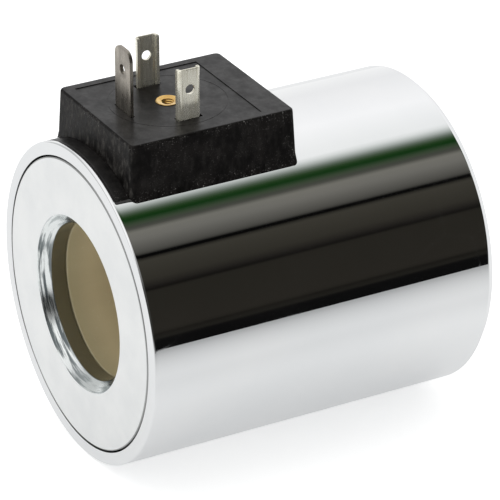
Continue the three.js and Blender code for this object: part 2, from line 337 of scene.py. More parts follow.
def is_window_edge(a, b):
    """The outer rim of the window: its two straight edges and its two arcs."""
    middle = (a + b) / 2
    if not all(near(radius_of(p), can_radius, ROUND_SLACK) for p in (a, b)):
        return False
    if not over_window(middle, window_angle + WINDOW_SLACK / can_radius):
        return False
    if not WINDOW_FRONT - SLACK < middle.y < WINDOW_REAR + SLACK:
        return False
    straight = all(near(abs(p.x), WINDOW_HALF_WIDTH, WINDOW_SLACK) for p in (a, b))
    arc = any(near(a.y, y) and near(b.y, y) for y in (WINDOW_FRONT, WINDOW_REAR))
    return straight or arc


def make_can():
    """The drawn steel can: a tube with a chamfer at each end and a window for the block."""
    can = rod("can", can_radius, 0, can_length, CAN_SIDES)
    edit(can)
    open_bore(can, can_radius, can_radius - CAN_WALL)
    bisect_at((0, WINDOW_FRONT, 0), (0, 1, 0))
    bisect_at((0, WINDOW_REAR, 0), (0, 1, 0))
    pick_faces(can, lambda centre, normal: WINDOW_FRONT < centre.y < WINDOW_REAR
               and over_window(centre, window_angle))
    bpy.ops.mesh.delete(type="FACE")
    bpy.ops.mesh.select_mode(type="EDGE")
    bpy.ops.mesh.select_all(action="DESELECT")
    bpy.ops.mesh.select_non_manifold()
    bpy.ops.mesh.bridge_edge_loops()
    pick_edges(can, is_window_edge)
    bevel(WINDOW_EDGE, 2)
    pick_edges(can, on_circle(can_radius, 0))
    bevel(CAN_FRONT_CHAMFER, 4)
    pick_edges(can, on_circle(can_radius, can_length))
    bevel(CAN_REAR_CHAMFER, 1)
    pick_edges(can, on_circle(can_radius, can_length - CAN_REAR_CHAMFER))
    bevel(CAN_REAR_CHAMFER / 5, 2)
    for y in (0, can_length):
        pick_edges(can, on_circle(can_radius - CAN_WALL, y))
        bevel(CAN_INNER_EDGE, 2)
    leave_edit()
    smooth(can)
    return can


def make_front_plate():
    """A flux plate whose bore opens towards the front in a cone, made in two bands."""
    lead_in_radius = BORE_RADIUS + LEAD_IN_WIDTH
    recess_radius = lead_in_radius + OUTER_LEAD_IN_WIDTH
    plate = rod("front_plate", plate_high.x, plate_low.y, plate_high.y, PLATE_SIDES)
    edit(plate)
    pick_faces(plate, lambda centre, normal: normal.y < -FACING)
    bpy.ops.mesh.inset(thickness=plate_high.x - recess_radius)
    bpy.ops.mesh.inset(thickness=OUTER_LEAD_IN_WIDTH, depth=-OUTER_LEAD_IN_DEPTH)
    bpy.ops.mesh.inset(thickness=LEAD_IN_WIDTH, depth=-LEAD_IN_DEPTH)
    pick_faces(plate, lambda centre, normal: normal.y > FACING)
    bpy.ops.mesh.inset(thickness=plate_high.x - BORE_RADIUS)
    pick_faces(plate, lambda centre, normal: abs(normal.y) > FACING and radius_of(centre) < MM)
    bpy.ops.mesh.bridge_edge_loops()
    pick_edges(plate, on_circle(plate_high.x, plate_low.y))
    bevel(PLATE_RIM_CHAMFER, 2)
    steps = (
        (recess_radius, 0),
        (lead_in_radius, OUTER_LEAD_IN_DEPTH),
        (BORE_RADIUS, OUTER_LEAD_IN_DEPTH + LEAD_IN_DEPTH),
    )
    for radius, depth in steps:
        pick_edges(plate, on_circle(radius, plate_low.y + depth))
        bevel(PLATE_STEP_EDGE, 2)
    leave_edit()
    smooth(plate, PLATE_SMOOTHED_ANGLE)
    return plate


# ---------------------------------------------------------------- bobbin


def make_bobbin():
    """The spool: a thin tube whose end bands are raised into flanges."""
    wall_radius = BORE_RADIUS + BOBBIN_WALL
    front, rear = bobbin_low.y, bobbin_high.y
    bobbin = rod("spool", wall_radius, front, rear, PLATE_SIDES)
    edit(bobbin)
    open_bore(bobbin, wall_radius, BORE_RADIUS)
    bisect_at((0, front + BOBBIN_FLANGE, 0), (0, 1, 0))
    bisect_at((0, rear - BOBBIN_FLANGE, 0), (0, 1, 0))
    pick_faces(bobbin, lambda centre, normal: abs(normal.y) < 1 - FACING
               and radius_of(centre) > wall_radius - BOBBIN_WALL / 2
               and not front + BOBBIN_FLANGE < centre.y < rear - BOBBIN_FLANGE)
    bpy.ops.mesh.extrude_region_shrink_fatten(
        TRANSFORM_OT_shrink_fatten={"value": bobbin_high.x - wall_radius})
    for y in (front, rear):
        pick_edges(bobbin, on_circle(BORE_RADIUS, y))
        bevel(BOBBIN_MOUTH, 3)
    leave_edit()
    smooth(bobbin)
    return bobbin


# ---------------------------------------------------------------- moulding


def move_ring(piece, level, share):
    """Draws in the ring of points at one height by a share of the draft."""
    pick_points(piece, lambda point: near(point.z, level))
    across = 1 - 2 * share * BLOCK_DRAFT / BLOCK_WIDTH
    along = 1 - 2 * share * BLOCK_END_DRAFT / BLOCK_LENGTH
    bpy.ops.transform.resize(value=(across, along, 1),
                             center_override=(0, BLOCK_FRONT + BLOCK_LENGTH / 2, level))


def make_block():
    """The connector block: drafted sides that flare at the foot, rounded corners and edges."""
    half = BLOCK_WIDTH / 2
    bottom = jacket_radius - 2 * JACKET_WALL
    block = box("moulding", (-half, BLOCK_FRONT, bottom),
                (half, BLOCK_FRONT + BLOCK_LENGTH, block_top))
    edit(block)
    bisect_at((0, 0, block_foot), (0, 0, 1))
    for height, share in FOOT_FLARE_STEPS:
        level = block_foot + height * MM
        bisect_at((0, 0, level), (0, 0, 1))
        move_ring(block, level, share)
    move_ring(block, block_top, 1)
    pick_edges(block, lambda a, b: abs(a.z - b.z) > (a - b).length * FACING)
    bevel(BLOCK_CORNER, 6)
    pick_edges(block, lambda a, b: near(a.z, block_top) and near(b.z, block_top))
    bevel(BLOCK_EDGE, 3)
    leave_edit()
    return block


def make_can_shadow():
    """The space the can fills, used to cut the block. A hole in it, a little smaller than the
    window, leaves the block its stem."""
    radius = can_radius + MOULDING_GAP
    half_angle = window_angle - 2 * math.pi / CAN_SIDES
    front, rear = WINDOW_FRONT + SADDLE_EDGE, WINDOW_REAR - 2 * SADDLE_EDGE
    shadow = rod("can_space", radius, -can_length, 2 * can_length, CAN_SIDES)
    edit(shadow)
    bisect_at((0, front, 0), (0, 1, 0))
    bisect_at((0, rear, 0), (0, 1, 0))
    pick_faces(shadow, lambda centre, normal: front < centre.y < rear
               and over_window(centre, half_angle))
    bpy.ops.mesh.extrude_region_shrink_fatten(
        TRANSFORM_OT_shrink_fatten={"value": jacket_radius - JACKET_WALL / 2 - radius})
    leave_edit()
    return shadow


def make_saddle():
    """What fills the window, flush with the can, and stands on the jacket."""
    half_width = WINDOW_HALF_WIDTH - MOULDING_GAP
    front, rear = WINDOW_FRONT + MOULDING_GAP, WINDOW_REAR - MOULDING_GAP
    saddle = rod("saddle", can_radius - MOULDING_GAP / 2, front, rear, CAN_SIDES)
    combine(saddle, box("window_space", (-half_width, front - MM, 0),
                        (half_width, rear + MM, block_top)), "INTERSECT")
    soften_edges(saddle, SADDLE_EDGE)
    return saddle


def cut_slot(piece, node):
    """A slot round a pin, a little longer than the pin is wide."""
    low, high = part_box(node)
    along_x = high.x - low.x > high.y - low.y
    gap_x, gap_y = (SLOT_END_GAP, SLOT_SIDE_GAP) if along_x else (SLOT_SIDE_GAP, SLOT_END_GAP)
    slot = box("slot", (low.x - gap_x, low.y - gap_y, low.z - FIT_GAP),
               (high.x + gap_x, high.y + gap_y, block_top + MM))
    cut_out(piece, slot)


def cut_pocket(piece, node):
    """Room for a piece that is moulded in."""
    low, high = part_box(node)
    gap = Vector((FIT_GAP, FIT_GAP, FIT_GAP))
    cut_out(piece, box("pocket", low - gap, high + gap))


def cut_witness_line(piece):
    """The faint ring that a core of the mould leaves on the seal's seat."""
    floor = block_top - SEAL_DEPTH
    ring = post("witness", WITNESS_RADIUS, 0, pattern_y, floor - WITNESS_DEPTH, block_top, WITNESS_SIDES)
    core = post("witness_core", WITNESS_RADIUS - WITNESS_WIDTH, 0, pattern_y,
                floor - MM, block_top + MM, WITNESS_SIDES)
    cut_out(ring, core)
    cut_out(piece, ring)


def make_moulding():
    """Jacket, saddle and connector block in one body, with the seats of what it holds."""
    jacket_front, jacket_rear = bobbin_low.y, bobbin_high.y
    seal_half = SEAL_SIDE / 2
    block = make_block()
    cut_out(block, make_can_shadow())
    combine(block, make_saddle(), "UNION")
    jacket = rod("jacket", jacket_radius, jacket_front, jacket_rear, CAN_SIDES)
    combine(block, jacket, "UNION")
    cut_out(block, rod("plate_space", jacket_radius + FIT_GAP, -MM, jacket_front, CAN_SIDES))
    cut_out(block, rod("coil_space", jacket_radius - JACKET_WALL, -MM, can_length + MM, CAN_SIDES))
    cut_out(block, box("seal_seat", (-seal_half, pattern_y - seal_half, block_top - SEAL_DEPTH),
                       (seal_half, pattern_y + seal_half, block_top + MM)))
    cut_witness_line(block)
    cut_pocket(block, "terminal_carrier")
    for node in ("line_terminal_1", "line_terminal_2", "earth_terminal"):
        cut_slot(block, node)
    cut_out(block, post("insert_hole", insert_high.x + SLOT_SIDE_GAP, 0, pattern_y,
                        insert_low.z - FIT_GAP, block_top + MM))
    smooth(block)
    return block


# ---------------------------------------------------------------- pins and insert


def add_flange(piece, side, face_y, centre_x, length):
    """Bends one side of a pin's web round and runs it out into a flange."""
    pick_faces(piece, lambda centre, normal: normal.y * side > FACING
               and near(centre.y, face_y) and centre.z > block_top - LINE_FLANGE_FOOT)
    bpy.ops.mesh.spin(steps=5, angle=-side * math.pi / 2, center=(centre_x, face_y, 0),
                      axis=(0, 0, 1))
    bpy.ops.mesh.extrude_region_move(TRANSFORM_OT_translate={"value": (-length, 0, 0)})


def make_line_pin():
    """A pin folded from strip into a channel that opens towards the insert."""
    low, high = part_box("line_terminal_1")
    bend = LINE_SHEET + LINE_BEND
    inner = high.x - LINE_SHEET
    pin = box("line_pin_1", (inner, low.y + bend, low.z), (high.x, high.y - bend, high.z))
    edit(pin)
    bisect_at((0, 0, block_top - LINE_FLANGE_FOOT), (0, 0, 1))
    flange = high.x - low.x - bend
    add_flange(pin, 1, high.y - bend, inner - LINE_BEND, flange)
    add_flange(pin, -1, low.y + bend, inner - LINE_BEND, flange)
    bpy.ops.mesh.select_all(action="SELECT")
    bpy.ops.mesh.normals_make_consistent(inside=False)
    pick_edges(pin, lambda a, b: near(a.x, low.x) and near(b.x, low.x)
               and near(a.z, high.z) and near(b.z, high.z))
    bevel(LINE_FLANGE_CORNER, 3)
    pick_edges(pin, lambda a, b: near(a.z, high.z) and near(b.z, high.z))
    bevel(LINE_TIP_COIN, 1)
    leave_edit()
    drill_pin(pin, (high.x, (low.y + high.y) / 2, block_top + LINE_HOLE_HEIGHT), "Y")
    soften_edges(pin, SHEET_EDGE)
    smooth(pin)
    return pin


def drill_pin(pin, place, turned_about):
    """A hole through a pin at the given place."""
    rotation = (0, math.pi / 2, 0) if turned_about == "Y" else (math.pi / 2, 0, 0)
    deselect()
    bpy.ops.mesh.primitive_cylinder_add(vertices=HOLE_SIDES, radius=PIN_HOLE_RADIUS,
                                        depth=4 * MM, location=place, rotation=rotation)
    cut_out(pin, new_piece("drill"))


def make_earth_pin():
    """A flat blade with a rounded tip and coined edges."""
    low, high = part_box("earth_terminal")
    blade = box("earth_pin", low, high)
    edit(blade)
    pick_edges(blade, lambda a, b: near(a.z, high.z) and near(b.z, high.z) and near(a.x, b.x))
    bevel(EARTH_SHOULDER, 7)
    pick_edges(blade, lambda a, b: near(a.y, b.y) and max(a.z, b.z) > block_top)
    bevel(EARTH_EDGE, 2)
    leave_edit()
    drill_pin(blade, (0, (low.y + high.y) / 2, block_top + EARTH_HOLE_HEIGHT), "X")
    soften_edges(blade, SHEET_EDGE)
    smooth(blade)
    return blade


def make_insert():
    """A brass bush with a shallow mouth and the M3 thread cut as rings in its bore."""
    bottom, top = insert_low.z, insert_high.z
    axis = Vector((0, pattern_y, 0))
    insert = post("screw_insert", insert_high.x, 0, pattern_y, bottom, top, 2 * HOLE_SIDES)
    edit(insert)
    pick_faces(insert, lambda centre, normal: normal.z > FACING)
    bpy.ops.mesh.inset(thickness=INSERT_RIM)
    bpy.ops.mesh.inset(thickness=insert_high.x - INSERT_RIM - INSERT_BORE, depth=-MOUTH_DEPTH)
    pick_faces(insert, lambda centre, normal: normal.z < -FACING)
    bpy.ops.mesh.inset(thickness=insert_high.x - INSERT_BORE)
    pick_faces(insert, lambda centre, normal: abs(normal.z) > FACING
               and (centre - axis).xy.length < INSERT_BORE / 2)
    bpy.ops.mesh.bridge_edge_loops()
    thread_top = top - MOUTH_DEPTH
    widening = THREAD_RADIUS / INSERT_BORE
    for turn in range(2 * THREAD_TURNS):
        bisect_at((0, 0, thread_top - THREAD_PITCH * (turn + 1) / 2), (0, 0, 1))
    for turn in range(THREAD_TURNS):
        level = thread_top - THREAD_PITCH * (turn + 0.5)
        pick_points(insert, lambda point: near(point.z, level)
                    and (point - axis).xy.length < THREAD_RADIUS)
        bpy.ops.transform.resize(value=(widening, widening, 1), center_override=(0, pattern_y, level))
    pick_edges(insert, lambda a, b: near(a.z, top) and near(b.z, top))
    bevel(INSERT_RIM_EDGE, 1)
    leave_edit()
    smooth(insert)
    return insert


# ---------------------------------------------------------------- shared surface effects


def new_effect(name, inputs, outputs):
    """An empty node group. An input is a number or a vector as its value is, and a vector where
    it has none. Each output is a number."""
    group = bpy.data.node_groups.new(name, "ShaderNodeTree")
    for label, value in inputs.items():
        kind = "NodeSocketFloat" if isinstance(value, float) else "NodeSocketVector"
        socket = group.interface.new_socket(label, in_out="INPUT", socket_type=kind)
        if value is not None:
            socket.default_value = value
    for label in outputs:
        group.interface.new_socket(label, in_out="OUTPUT", socket_type="NodeSocketFloat")
    return group, group.nodes.new("NodeGroupInput").outputs, group.nodes.new("NodeGroupOutput")


def fill_inputs(tree, node, inputs):
    """Links or sets a node's inputs, by name or number."""
    for name, value in inputs.items():
        if isinstance(value, bpy.types.NodeSocket):
            tree.links.new(value, node.inputs[name])
        else:
            node.inputs[name].default_value = value


def add_node(tree, kind, inputs=None, **settings):
    """A node with its settings, and its inputs linked or set."""
    node = tree.nodes.new("ShaderNode" + kind)
    for name, value in settings.items():
        setattr(node, name, value)
    fill_inputs(tree, node, inputs or {})
    return node


def noise(tree, vector, scale, detail=2.0, roughness=0.5):
    return add_node(tree, "TexNoise", {
        "Vector": vector, "Scale": scale, "Detail": detail, "Roughness": roughness,
    }).outputs["Fac"]


def math_node(tree, operation, a, b=0.0):
    return add_node(tree, "Math", {0: a, 1: b}, operation=operation).outputs[0]


def times(tree, a, b):
    return math_node(tree, "MULTIPLY", a, b)


def vector_math(tree, operation, a, b, output="Vector"):
    return add_node(tree, "VectorMath", {0: a, 1: b}, operation=operation).outputs[output]


def coordinates(tree, vector):
    """The three parts of a vector, by the names X, Y and Z."""
    return add_node(tree, "SeparateXYZ", {0: vector}).outputs


def map_range(tree, value, low, high, out_low=0.0, out_high=1.0):
    """Runs softly from out_low to out_high while the value goes from low to high."""
    return add_node(tree, "MapRange", {
        "Value": value, "From Min": low, "From Max": high, "To Min": out_low, "To Max": out_high,
    }, interpolation_type="SMOOTHSTEP").outputs["Result"]


def map_linear(tree, value, low, high):
    """The share of the way from low to high, from 0 to 1."""
    return add_node(tree, "MapRange", {
        "Value": value, "From Min": low, "From Max": high,
    }).outputs["Result"]


def spread(tree, value, low=0.0, high=1.0):
    """Runs a noise from low to high over the middle of its range, where most of it lies."""
    return map_range(tree, value, 0.3, 0.7, low, high)


def colour(red, green, blue):
    return (red, green, blue, 1.0)


def mix_colour(tree, factor, a, b):
    return add_node(tree, "MixRGB", {"Fac": factor, "Color1": a, "Color2": b}).outputs["Color"]


def ramp(tree, share, bands):
    """A colour ramp with a stop for each (degrees, colour)."""
    node = add_node(tree, "ValToRGB", {"Fac": share})
    stops = node.color_ramp.elements
    stops.remove(stops[1])
    for number, (degrees, shade) in enumerate(bands):
        position = (degrees + 180) / 360
        stop = stops[0] if number == 0 else stops.new(position)
        stop.position = position
        stop.color = colour(*shade)
    return node.outputs["Color"]


def moulded_grain():
    """Fine grain of a moulded surface, and the light specks of fibre and dust on it."""
    inputs = {"Vector": None, "Scale": 900.0, "Specks": 0.5}
    group, given, result = new_effect("moulded_grain", inputs, ("Height", "Speck", "Cloud"))
    vector, scale = given["Vector"], given["Scale"]
    grain = noise(group, vector, scale, 5.0, 0.65)
    fibre = noise(group, vector, times(group, scale, 3.0), 3.0, 0.7)
    cloud = noise(group, vector, times(group, scale, 0.22), 3.0, 0.6)
    edge = math_node(group, "SUBTRACT", 0.66, times(group, given["Specks"], 0.08))
    speck = map_range(group, fibre, edge, 0.68)
    patch = map_range(group, cloud, 0.36, 0.6)
    fill_inputs(group, result, {"Height": grain, "Speck": times(group, speck, patch), "Cloud": cloud})
    return group


def handling_marks():
    """Fine scratches in all directions and soft smudges, as metal gets from being handled."""
    inputs = {"Vector": None, "Scale": 60.0, "Amount": 0.5}
    group, given, result = new_effect("handling_marks", inputs, ("Scratch", "Smudge"))
    vector, scale, amount = given["Vector"], given["Scale"], given["Amount"]
    warp = add_node(group, "TexNoise", {"Vector": vector, "Scale": scale, "Detail": 2.0})
    bent = mix_colour(group, 0.012, vector, warp.outputs["Color"])
    cells = add_node(group, "TexVoronoi", {"Vector": bent, "Scale": times(group, scale, 1.5)},
                     feature="DISTANCE_TO_EDGE")
    line = map_range(group, cells.outputs["Distance"], 0.0, 0.02, 1.0, 0.0)
    broken = map_range(group, noise(group, vector, scale, 3.0), 0.52, 0.66)
    scratch = times(group, line, broken)
    smudge = map_range(group, noise(group, vector, times(group, scale, 0.6), 4.0, 0.6), 0.35, 0.7)
    fill_inputs(group, result, {
        "Scratch": times(group, scratch, amount), "Smudge": times(group, smudge, amount),
    })
    return group


def plating_cloud():
    """The soft mottling of a plated surface and its very fine crystal grain."""
    inputs = {"Vector": None, "Scale": 90.0}
    group, given, result = new_effect("plating_cloud", inputs, ("Cloud", "Grain"))
    vector, scale = given["Vector"], given["Scale"]
    cloud = noise(group, vector, scale, 4.0, 0.55)
    grain = noise(group, vector, times(group, scale, 40.0), 3.0, 0.6)
    fill_inputs(group, result, {"Cloud": cloud, "Grain": grain})
    return group


def drawn_lines():
    """Lines left along one direction by rolling or turning. Stretch squeezes the other two."""
    inputs = {"Vector": None, "Stretch": (1.0, 1.0, 1.0), "Scale": 400.0}
    group, given, result = new_effect("drawn_lines", inputs, ("Lines",))
    squeezed = vector_math(group, "MULTIPLY", given["Vector"], given["Stretch"])
    fill_inputs(group, result, {"Lines": noise(group, squeezed, given["Scale"], 4.0, 0.6)})
    return group


EFFECTS = {
    "moulded_grain": moulded_grain(),
    "handling_marks": handling_marks(),
    "plating_cloud": plating_cloud(),
    "drawn_lines": drawn_lines(),
}


def effect(tree, name, **values):
    """Places a shared effect in a material and gives its outputs."""
    node = tree.nodes.new("ShaderNodeGroup")
    node.node_tree = EFFECTS[name]
    fill_inputs(tree, node, values)
    return node.outputs


# ---------------------------------------------------------------- finishes

# Two colours are the ends between which a finish is mottled.
CHROME = colour(0.91, 0.92, 0.925), colour(0.94, 0.945, 0.945)
ZINC = colour(0.90, 0.91, 0.905), colour(0.97, 0.975, 0.965)
# The lead-in's painted shade, from its lighter to its darker end.
LEAD_IN_PAINTED_SHADE = colour(0.52, 0.56, 0.56), colour(0.13, 0.15, 0.155)
LEAD_IN_RING = colour(0.90, 0.93, 0.92)
# Painted shade for the bore's wall.
BORE_PAINTED_SHADE = colour(0.28, 0.295, 0.29)
# Painted shade for the gap between plate and can.
RIM_GAP_PAINTED_SHADE = colour(0.05, 0.05, 0.048)
TAN_NYLON = colour(0.56, 0.475, 0.30), colour(0.60, 0.515, 0.33)
TAN_FLECK = colour(0.68, 0.62, 0.46)
# Painted shade for the spool's front mouth.
MOUTH_PAINTED_SHADE = colour(0.20, 0.185, 0.10)
BLACK_NYLON = colour(0.0030, 0.0025, 0.0023), colour(0.0075, 0.0063, 0.0057)
# Lighter streaks: flow grain, and a painted sheen where they are strong on the front face.
FLOW_STREAK_AND_SHEEN = colour(0.05, 0.047, 0.043)
DUST = colour(0.42, 0.41, 0.39)
TIN = colour(1.0, 0.97, 0.84), colour(0.84, 0.80, 0.66)
NICKEL = colour(0.47, 0.43, 0.37), colour(0.32, 0.29, 0.25)
# Painted shade for faces turned towards the insert.
INWARD_PAINTED_SHADE = colour(0.05, 0.045, 0.035)
BRASS = colour(0.93, 0.64, 0.24), colour(0.5, 0.26, 0.06)
COPPER = colour(0.62, 0.2, 0.07), colour(0.72, 0.27, 0.1)
# Painted shade between the turns of the winding.
SHADE_BETWEEN_TURNS = colour(0.16, 0.05, 0.02)
AMBER_FILM = colour(0.55, 0.36, 0.08), colour(0.68, 0.48, 0.13)
CARRIER_NYLON = colour(0.035, 0.035, 0.034), colour(0.07, 0.068, 0.066)
GLASS_BRAID = colour(0.36, 0.31, 0.22), colour(0.72, 0.67, 0.53)


def new_finish(name, **constants):
    """A material, its node tree, its shader and the object's own coordinates."""
    material = bpy.data.materials.new(name)
    material.use_nodes = True
    tree = material.node_tree
    shader = tree.nodes["Principled BSDF"]
    for label, value in constants.items():
        shader.inputs[label.replace("_", " ")].default_value = value
    place = add_node(tree, "TexCoord").outputs["Object"]
    return material, tree, shader, place


def feed(tree, shader, **sources):
    for label, source in sources.items():
        tree.links.new(source, shader.inputs[label.replace("_", " ")])


def bump(tree, shader, height, strength, distance):
    """distance is the depth of the relief in metres."""
    node = add_node(tree, "Bump", {"Height": height, "Strength": strength, "Distance": distance})
    tree.links.new(node.outputs["Normal"], shader.inputs["Normal"])


def chrome_finish():
    material, tree, shader, place = new_finish("bright_chrome", Metallic=1.0)
    marks = effect(tree, "handling_marks", Vector=place, Scale=45.0, Amount=0.5)
    cloud = effect(tree, "plating_cloud", Vector=place, Scale=35.0)
    tint = mix_colour(tree, spread(tree, cloud["Cloud"]), *CHROME)
    wear_and_shade = map_range(tree, marks["Smudge"], 0.0, 0.5, 0.02, 0.045)
    rough = math_node(tree, "ADD", wear_and_shade, times(tree, marks["Scratch"], 0.12))
    feed(tree, shader, Base_Color=tint, Roughness=rough)
    bump(tree, shader, cloud["Cloud"], 0.12, 0.05 * MM)
    return material


def zinc_finish():
    """Cloudy zinc on the flat, and shinier on the lead-in, with bright turned rings over painted shade.
    Painted shade darkens the bore, and a thin line of painted shade lies on the rim's chamfer, at the
    gap to the can."""
    material, tree, shader, place = new_finish("cloudy_zinc_plate", Metallic=1.0)
    marks = effect(tree, "handling_marks", Vector=place, Scale=120.0, Amount=0.6)
    cloud = effect(tree, "plating_cloud", Vector=place, Scale=110.0)
    flat = mix_colour(tree, spread(tree, cloud["Cloud"]), *ZINC)
    across = vector_math(tree, "MULTIPLY", place, (1.0, 0.0, 1.0))
    radius = add_node(tree, "VectorMath", {0: across}, operation="LENGTH").outputs["Value"]
    lead_in_edge = BORE_RADIUS + LEAD_IN_WIDTH + OUTER_LEAD_IN_WIDTH
    lead_in = map_range(tree, radius, lead_in_edge + 0.05 * MM, lead_in_edge - 0.05 * MM)
    tint = mix_colour(tree, lead_in, flat, turned_lead_in(tree, across, radius))
    # Painted shade darkens the bore's wall.
    in_bore = map_range(tree, radius, BORE_RADIUS + 0.15 * MM, BORE_RADIUS)
    bore_shaded = mix_colour(tree, in_bore, tint, BORE_PAINTED_SHADE)
    # A thin line of painted shade on the rim's chamfer, where the plate meets the can.
    rim = plate_high.x - PLATE_RIM_CHAMFER
    gap_shade = map_range(tree, radius, rim - 0.04 * MM, rim + 0.06 * MM, 0.0, 0.6)
    gap_shaded = mix_colour(tree, gap_shade, bore_shaded, RIM_GAP_PAINTED_SHADE)
    satin = map_range(tree, cloud["Cloud"], 0.25, 0.75, 0.30, 0.42)
    rough = add_node(tree, "Mix", {"Factor": lead_in, "A": satin, "B": 0.2}).outputs["Result"]
    feed(tree, shader, Base_Color=gap_shaded, Roughness=rough)
    scratched = times(tree, marks["Scratch"], -0.5)
    bump(tree, shader, math_node(tree, "ADD", cloud["Grain"], scratched), 0.15, 0.02 * MM)
    return material


def turned_lead_in(tree, across, radius):
    """Bright rings over a painted shade that is darkest at one side of the bore, low down."""
    dark_side = (-0.9 / BORE_RADIUS, 0.0, -0.45 / BORE_RADIUS)
    towards = vector_math(tree, "DOT_PRODUCT", across, dark_side, "Value")
    shaded = map_range(tree, towards, 0.35, 0.95)
    shade = mix_colour(tree, shaded, *LEAD_IN_PAINTED_SHADE)
    return mix_colour(tree, turned_rings(tree, across, radius), shade, LEAD_IN_RING)


def turned_rings(tree, across, radius):
    """Light and dark arcs round the bore, as a worn turning tool leaves them."""
    way = add_node(tree, "VectorMath", {0: across}, operation="NORMALIZE").outputs["Vector"]
    step = add_node(tree, "CombineXYZ", {"Y": times(tree, radius, 1.6 / MM)}).outputs["Vector"]
    round_bore = vector_math(tree, "MULTIPLY", way, (2.2, 0.0, 2.2))
    seed = vector_math(tree, "ADD", round_bore, step)
    return map_range(tree, noise(tree, seed, 1.0, 4.0, 0.55), 0.40, 0.56)


def spool_finish():
    """Tan glass-filled nylon, darkened to olive by painted shade towards its front mouth."""
    material, tree, shader, place = new_finish("tan_glass_nylon")
    grain = effect(tree, "moulded_grain", Vector=place, Scale=500.0, Specks=0.4)
    streaks = effect(tree, "drawn_lines", Vector=place, Stretch=(1.0, 0.3, 1.0), Scale=140.0)
    tint = mix_colour(tree, spread(tree, streaks["Lines"]), *TAN_NYLON)
    flecked = mix_colour(tree, times(tree, grain["Speck"], 0.4), tint, TAN_FLECK)
    depth = coordinates(tree, place)["Y"]
    # Painted shade, darker olive towards the spool's front mouth.
    mouth_shade = map_range(tree, depth, bobbin_low.y + 6 * MM, bobbin_low.y, 0.0, 0.45)
    feed(tree, shader, Base_Color=mix_colour(tree, mouth_shade, flecked, MOUTH_PAINTED_SHADE),
         Roughness=spread(tree, grain["Cloud"], 0.32, 0.46))
    bump(tree, shader, grain["Height"], 0.1, 0.02 * MM)
    return material


def black_moulding_finish():
    """Semi-matt black: smooth and shinier on top, where the seal sits, and dull, streaked and dusty on
    the drafted sides, most of all along their upper and lower edges. The lighter streaks are flow grain,
    made much stronger on the front face as a painted sheen."""
    material, tree, shader, place = new_finish("black_glass_nylon", Specular_IOR_Level=0.12,
                                               Coat_Roughness=0.3)
    grain = effect(tree, "moulded_grain", Vector=place, Scale=1100.0, Specks=0.7)
    flow = effect(tree, "drawn_lines", Vector=place, Stretch=(1.0, 1.0, 0.4), Scale=900.0)
    facing = coordinates(tree, add_node(tree, "TexCoord").outputs["Normal"])
    spot = coordinates(tree, place)
    front = map_range(tree, facing["Y"], -0.5, -FACING)
    top = times(tree, map_range(tree, facing["Z"], 0.93, 0.99),
                map_range(tree, spot["Z"], can_radius + MM, can_radius + 2 * MM))
    cloudy = mix_colour(tree, map_range(tree, grain["Cloud"], 0.35, 0.65), *BLACK_NYLON)
    # Flow grain everywhere, made much stronger on the front face as a painted sheen.
    streak_and_sheen = times(tree, map_range(tree, flow["Lines"], 0.45, 0.7),
                   map_range(tree, front, 0.0, 1.0, 0.12, 0.85))
    body = mix_colour(tree, streak_and_sheen, cloudy, FLOW_STREAK_AND_SHEEN)
    dusty = times(tree, grain["Speck"], dust_amount(tree, spot, top))
    glossy = math_node(tree, "MAXIMUM", top, glossy_saddle(tree, spot, front))
    shine = times(tree, glossy, spread(tree, grain["Cloud"], 0.38, 0.62))
    feed(tree, shader, Base_Color=mix_colour(tree, dusty, body, DUST),
         Roughness=spread(tree, flow["Lines"], 0.40, 0.62), Coat_Weight=shine)
    depth = map_range(tree, top, 0.0, 1.0, 1.0, 0.35)
    bump(tree, shader, times(tree, grain["Height"], depth), 0.6, 0.07 * MM)
    return material


def dust_amount(tree, spot, top):
    """How much dust shows: most along the block's upper, lower and rear edges, least on top."""
    rear = BLOCK_FRONT + BLOCK_LENGTH
    upper_edge = map_range(tree, spot["Z"], block_top - 2.0 * MM, block_top - 0.3 * MM)
    lower_edge = map_range(tree, spot["Z"], block_foot + 3.0 * MM, block_foot)
    rear_end = map_range(tree, spot["Y"], rear - 5 * MM, rear - MM)
    edges = math_node(tree, "MAXIMUM", upper_edge, lower_edge)
    rubbed = math_node(tree, "MAXIMUM", edges, rear_end)
    on_sides = map_range(tree, rubbed, 0.0, 1.0, 0.1, 0.45)
    return add_node(tree, "Mix", {"Factor": top, "A": on_sides, "B": 0.08}).outputs["Result"]


def glossy_saddle(tree, spot, front):
    """The saddle before the block has nearly the top's gloss, but not the block's own front."""
    not_front = map_range(tree, front, 0.0, 0.2, 1.0, 0.0)
    before_block = map_range(tree, spot["Y"], BLOCK_FRONT, BLOCK_FRONT - 0.1 * MM)
    return times(tree, times(tree, not_front, before_block), 0.8)


